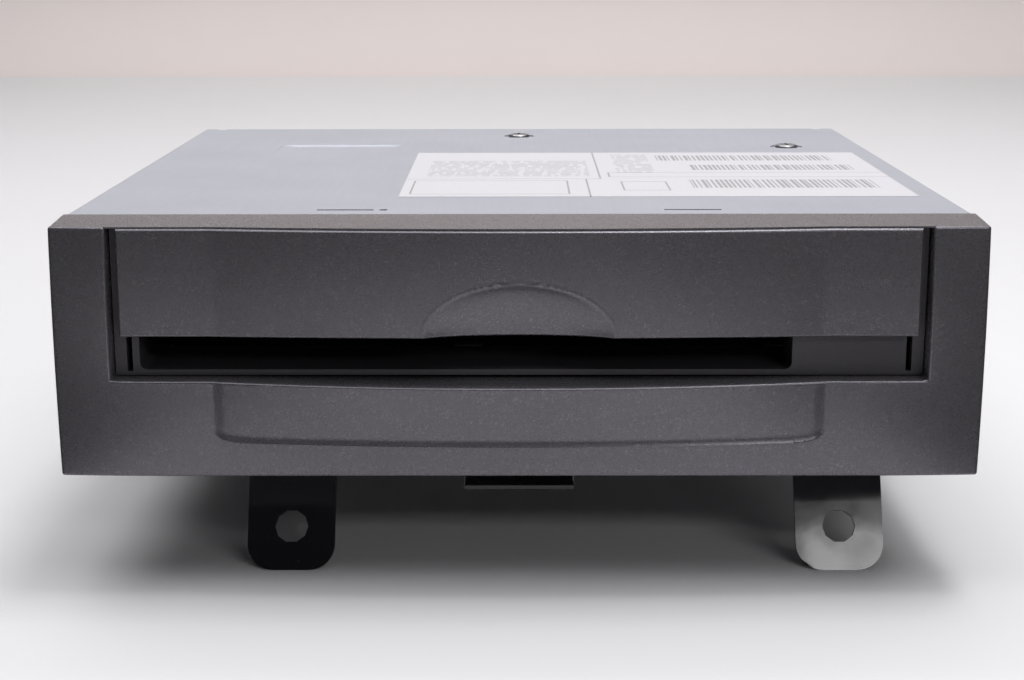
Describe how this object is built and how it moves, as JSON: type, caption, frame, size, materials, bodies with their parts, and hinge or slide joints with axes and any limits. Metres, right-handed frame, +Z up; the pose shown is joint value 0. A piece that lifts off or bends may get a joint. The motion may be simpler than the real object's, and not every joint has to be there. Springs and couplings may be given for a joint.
{
  "type": "car navigation disc reader",
  "caption": "Slot-loading disc reader in a low steel case with a dark moulded bezel, a sliding slot door and two bracket rails with leaning tabs.",
  "frame": {"origin": "on the table, under the middle of the whole reader", "axes": "+X to the right seen from the front, +Y from the bezel to the rear, +Z up"},
  "size_m": [0.1838, 0.1858, 0.0743],
  "materials": {
    "graphite_plastic": "fine-textured dark graphite moulding",
    "inner_plastic": "dark moulded plastic",
    "black_felt": "black felt",
    "zinc_sheet": "bluish zinc-plated sheet steel, satin",
    "white_label": "plain white coated paper",
    "black_plastic": "black moulding",
    "brass_metal": "plain brass",
    "black_steel": "gloss black coated steel",
    "bright_steel": "bright plated steel",
    "black_rubber": "black rubber",
    "white_nylon": "natural nylon",
    "cast_sled": "die-cast metal",
    "lens_glass": "coated lens",
    "green_board": "green circuit board"
  },
  "bodies": {
    "case": {"front_bezel": "graphite_plastic", "slot_fascia": "inner_plastic", "felt_upper": "black_felt", "felt_lower": "black_felt", "top_cover": "zinc_sheet", "cover_label": "white_label", "chassis_pan": "zinc_sheet", "rear_panel": "zinc_sheet", "power_socket": "black_plastic", "data_socket": "black_plastic", "antenna_socket": "brass_metal", "bracket_left": "black_steel", "bracket_right": "black_steel", "front_hook": "black_steel", "deck_frame": "bright_steel", "upper_guide": "black_plastic", "loading_motor": "bright_steel", "spindle_motor": "bright_steel", "clamp_pin": "bright_steel", "guide_rod_left": "bright_steel", "guide_rod_right": "bright_steel", "feed_motor": "bright_steel", "main_board": "green_board", "side_board": "green_board", "board_header": "black_plastic", "cover_screw_1": "bright_steel", "cover_screw_2": "bright_steel", "side_screw_1": "bright_steel", "bracket_screw_1": "bright_steel", "damper_1": "black_rubber", "side_screw_2": "bright_steel", "bracket_screw_2": "bright_steel", "damper_2": "black_rubber", "side_screw_3": "bright_steel", "bracket_screw_3": "bright_steel", "damper_3": "black_rubber", "side_screw_4": "bright_steel", "bracket_screw_4": "bright_steel", "damper_4": "black_rubber"},
    "door": {"slot_door": "graphite_plastic"},
    "roller": {"roller_shaft": "bright_steel", "roller_left": "black_rubber", "roller_right": "black_rubber", "roller_gear": "white_nylon"},
    "idler": {"idler_gear": "white_nylon"},
    "worm": {"motor_worm": "brass_metal"},
    "turntable": {"turntable": "black_plastic"},
    "clamp_arm": {"clamp_arm": "bright_steel"},
    "clamp_disc": {"clamp_disc": "black_plastic"},
    "sled": {"pickup_sled": "cast_sled", "objective_lens": "lens_glass"},
    "feed_pinion": {"feed_pinion": "white_nylon"}
  },
  "joints": [
    {"name": "door_slide", "type": "slide", "parent": "case", "child": "door", "axis": [0, 0, -1], "range_m": [0, 0.0084]},
    {"name": "roller_spin", "type": "hinge", "parent": "case", "child": "roller", "pos_m": [0, -0.06457, 0.0446], "axis": [1, 0, 0], "continuous": true},
    {"name": "idler_spin", "type": "hinge", "parent": "case", "child": "idler", "pos_m": [0.065, -0.05154, 0.0534], "axis": [1, 0, 0], "continuous": true},
    {"name": "worm_spin", "type": "hinge", "parent": "case", "child": "worm", "pos_m": [0.065, -0.05154, 0.04128], "axis": [0, 1, 0], "continuous": true},
    {"name": "spindle_spin", "type": "hinge", "parent": "case", "child": "turntable", "pos_m": [-0.0103, 0.00043, 0.0465], "axis": [0, 0, 1], "continuous": true},
    {"name": "clamp_lift", "type": "hinge", "parent": "case", "child": "clamp_arm", "pos_m": [-0.0103, 0.06643, 0.0555], "axis": [-1, 0, 0], "range_deg": [0, 5]},
    {"name": "clamp_spin", "type": "hinge", "parent": "clamp_arm", "child": "clamp_disc", "pos_m": [-0.0103, 0.00043, 0.0525], "axis": [0, 0, 1], "continuous": true},
    {"name": "sled_slide", "type": "slide", "parent": "case", "child": "sled", "axis": [0, 1, 0], "range_m": [0, 0.03]},
    {"name": "feed_spin", "type": "hinge", "parent": "case", "child": "feed_pinion", "pos_m": [-0.04472, 0.02473, 0.0415], "axis": [0, 0, 1], "continuous": true}
  ],
  "couplings": [
    {"joint": "idler_spin", "follows": "worm_spin", "ratio": -0.033333},
    {"joint": "roller_spin", "follows": "worm_spin", "ratio": 0.045455},
    {"joint": "clamp_spin", "follows": "spindle_spin", "ratio": 1},
    {"joint": "feed_spin", "follows": "sled_slide", "rad_per_m": 208.33}
  ]
}
